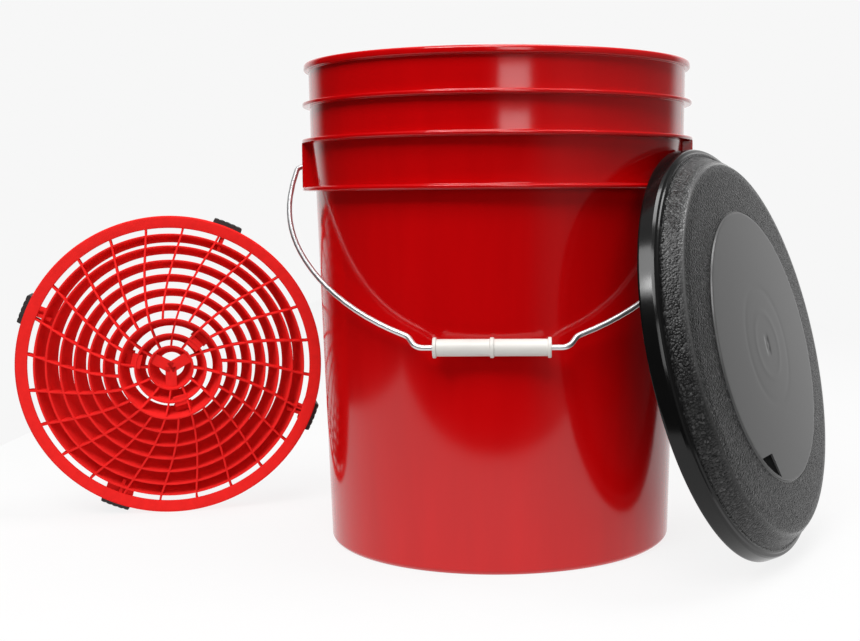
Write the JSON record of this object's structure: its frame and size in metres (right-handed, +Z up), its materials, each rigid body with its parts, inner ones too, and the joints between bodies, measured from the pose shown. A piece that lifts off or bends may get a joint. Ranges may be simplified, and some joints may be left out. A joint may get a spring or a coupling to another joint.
{
  "type": "wash bucket",
  "caption": "Straight-sided ribbed pail with a wire bail and hand grip, a snap lid leaning on it and a domed dirt trap standing beside it.",
  "frame": {"origin": "centre of the pail's resting face, on the floor", "axes": "+Z up through the pail's rim, -Y to the front where the bail hangs, X along the bail's ear axis, lid on the +X side"},
  "size_m": [0.6776, 0.3589, 0.37],
  "materials": {
    "pail_plastic": "glossy moulded",
    "bail_steel": "bright galvanised wire",
    "grip_plastic": "satin",
    "lid_plastic": "pebbled, smooth satin centre",
    "gasket_rubber": "foam",
    "trap_plastic": "satin gloss moulded",
    "trap_rubber": "ribbed matt"
  },
  "bodies": {
    "pail": {"pail": "pail_plastic"},
    "bail": {"bail_wire": "bail_steel"},
    "grip": {"bail_grip": "grip_plastic"},
    "lid": {"lid_shell": "lid_plastic", "lid_gasket": "gasket_rubber"},
    "trap": {"trap_grid": "trap_plastic", "trap_rubber_1": "trap_rubber", "trap_rubber_2": "trap_rubber", "trap_rubber_3": "trap_rubber", "trap_rubber_4": "trap_rubber"}
  },
  "joints": [
    {"name": "bail_swing", "type": "hinge", "parent": "pail", "child": "bail", "pos_m": [0, 0, 0.293], "axis": [-1, 0, 0], "range_deg": [0, 262.6]},
    {"name": "grip_spin", "type": "hinge", "parent": "bail", "child": "grip", "pos_m": [0, -0.14652, 0.16428], "axis": [1, 0, 0], "continuous": true},
    {"name": "lid_tip", "type": "hinge", "parent": "pail", "child": "lid", "pos_m": [0.22846, -0.09157, 0.00599], "axis": [0.4478, 0.8942, 0], "range_deg": [0, 103.8]},
    {"name": "trap_lift", "type": "slide", "parent": "pail", "child": "trap", "axis": [0, 0, 1], "range_m": [0, 0.45]}
  ],
  "couplings": [
    {"joint": "lid_tip", "follows": "bail_swing", "ratio": 0.395}
  ]
}
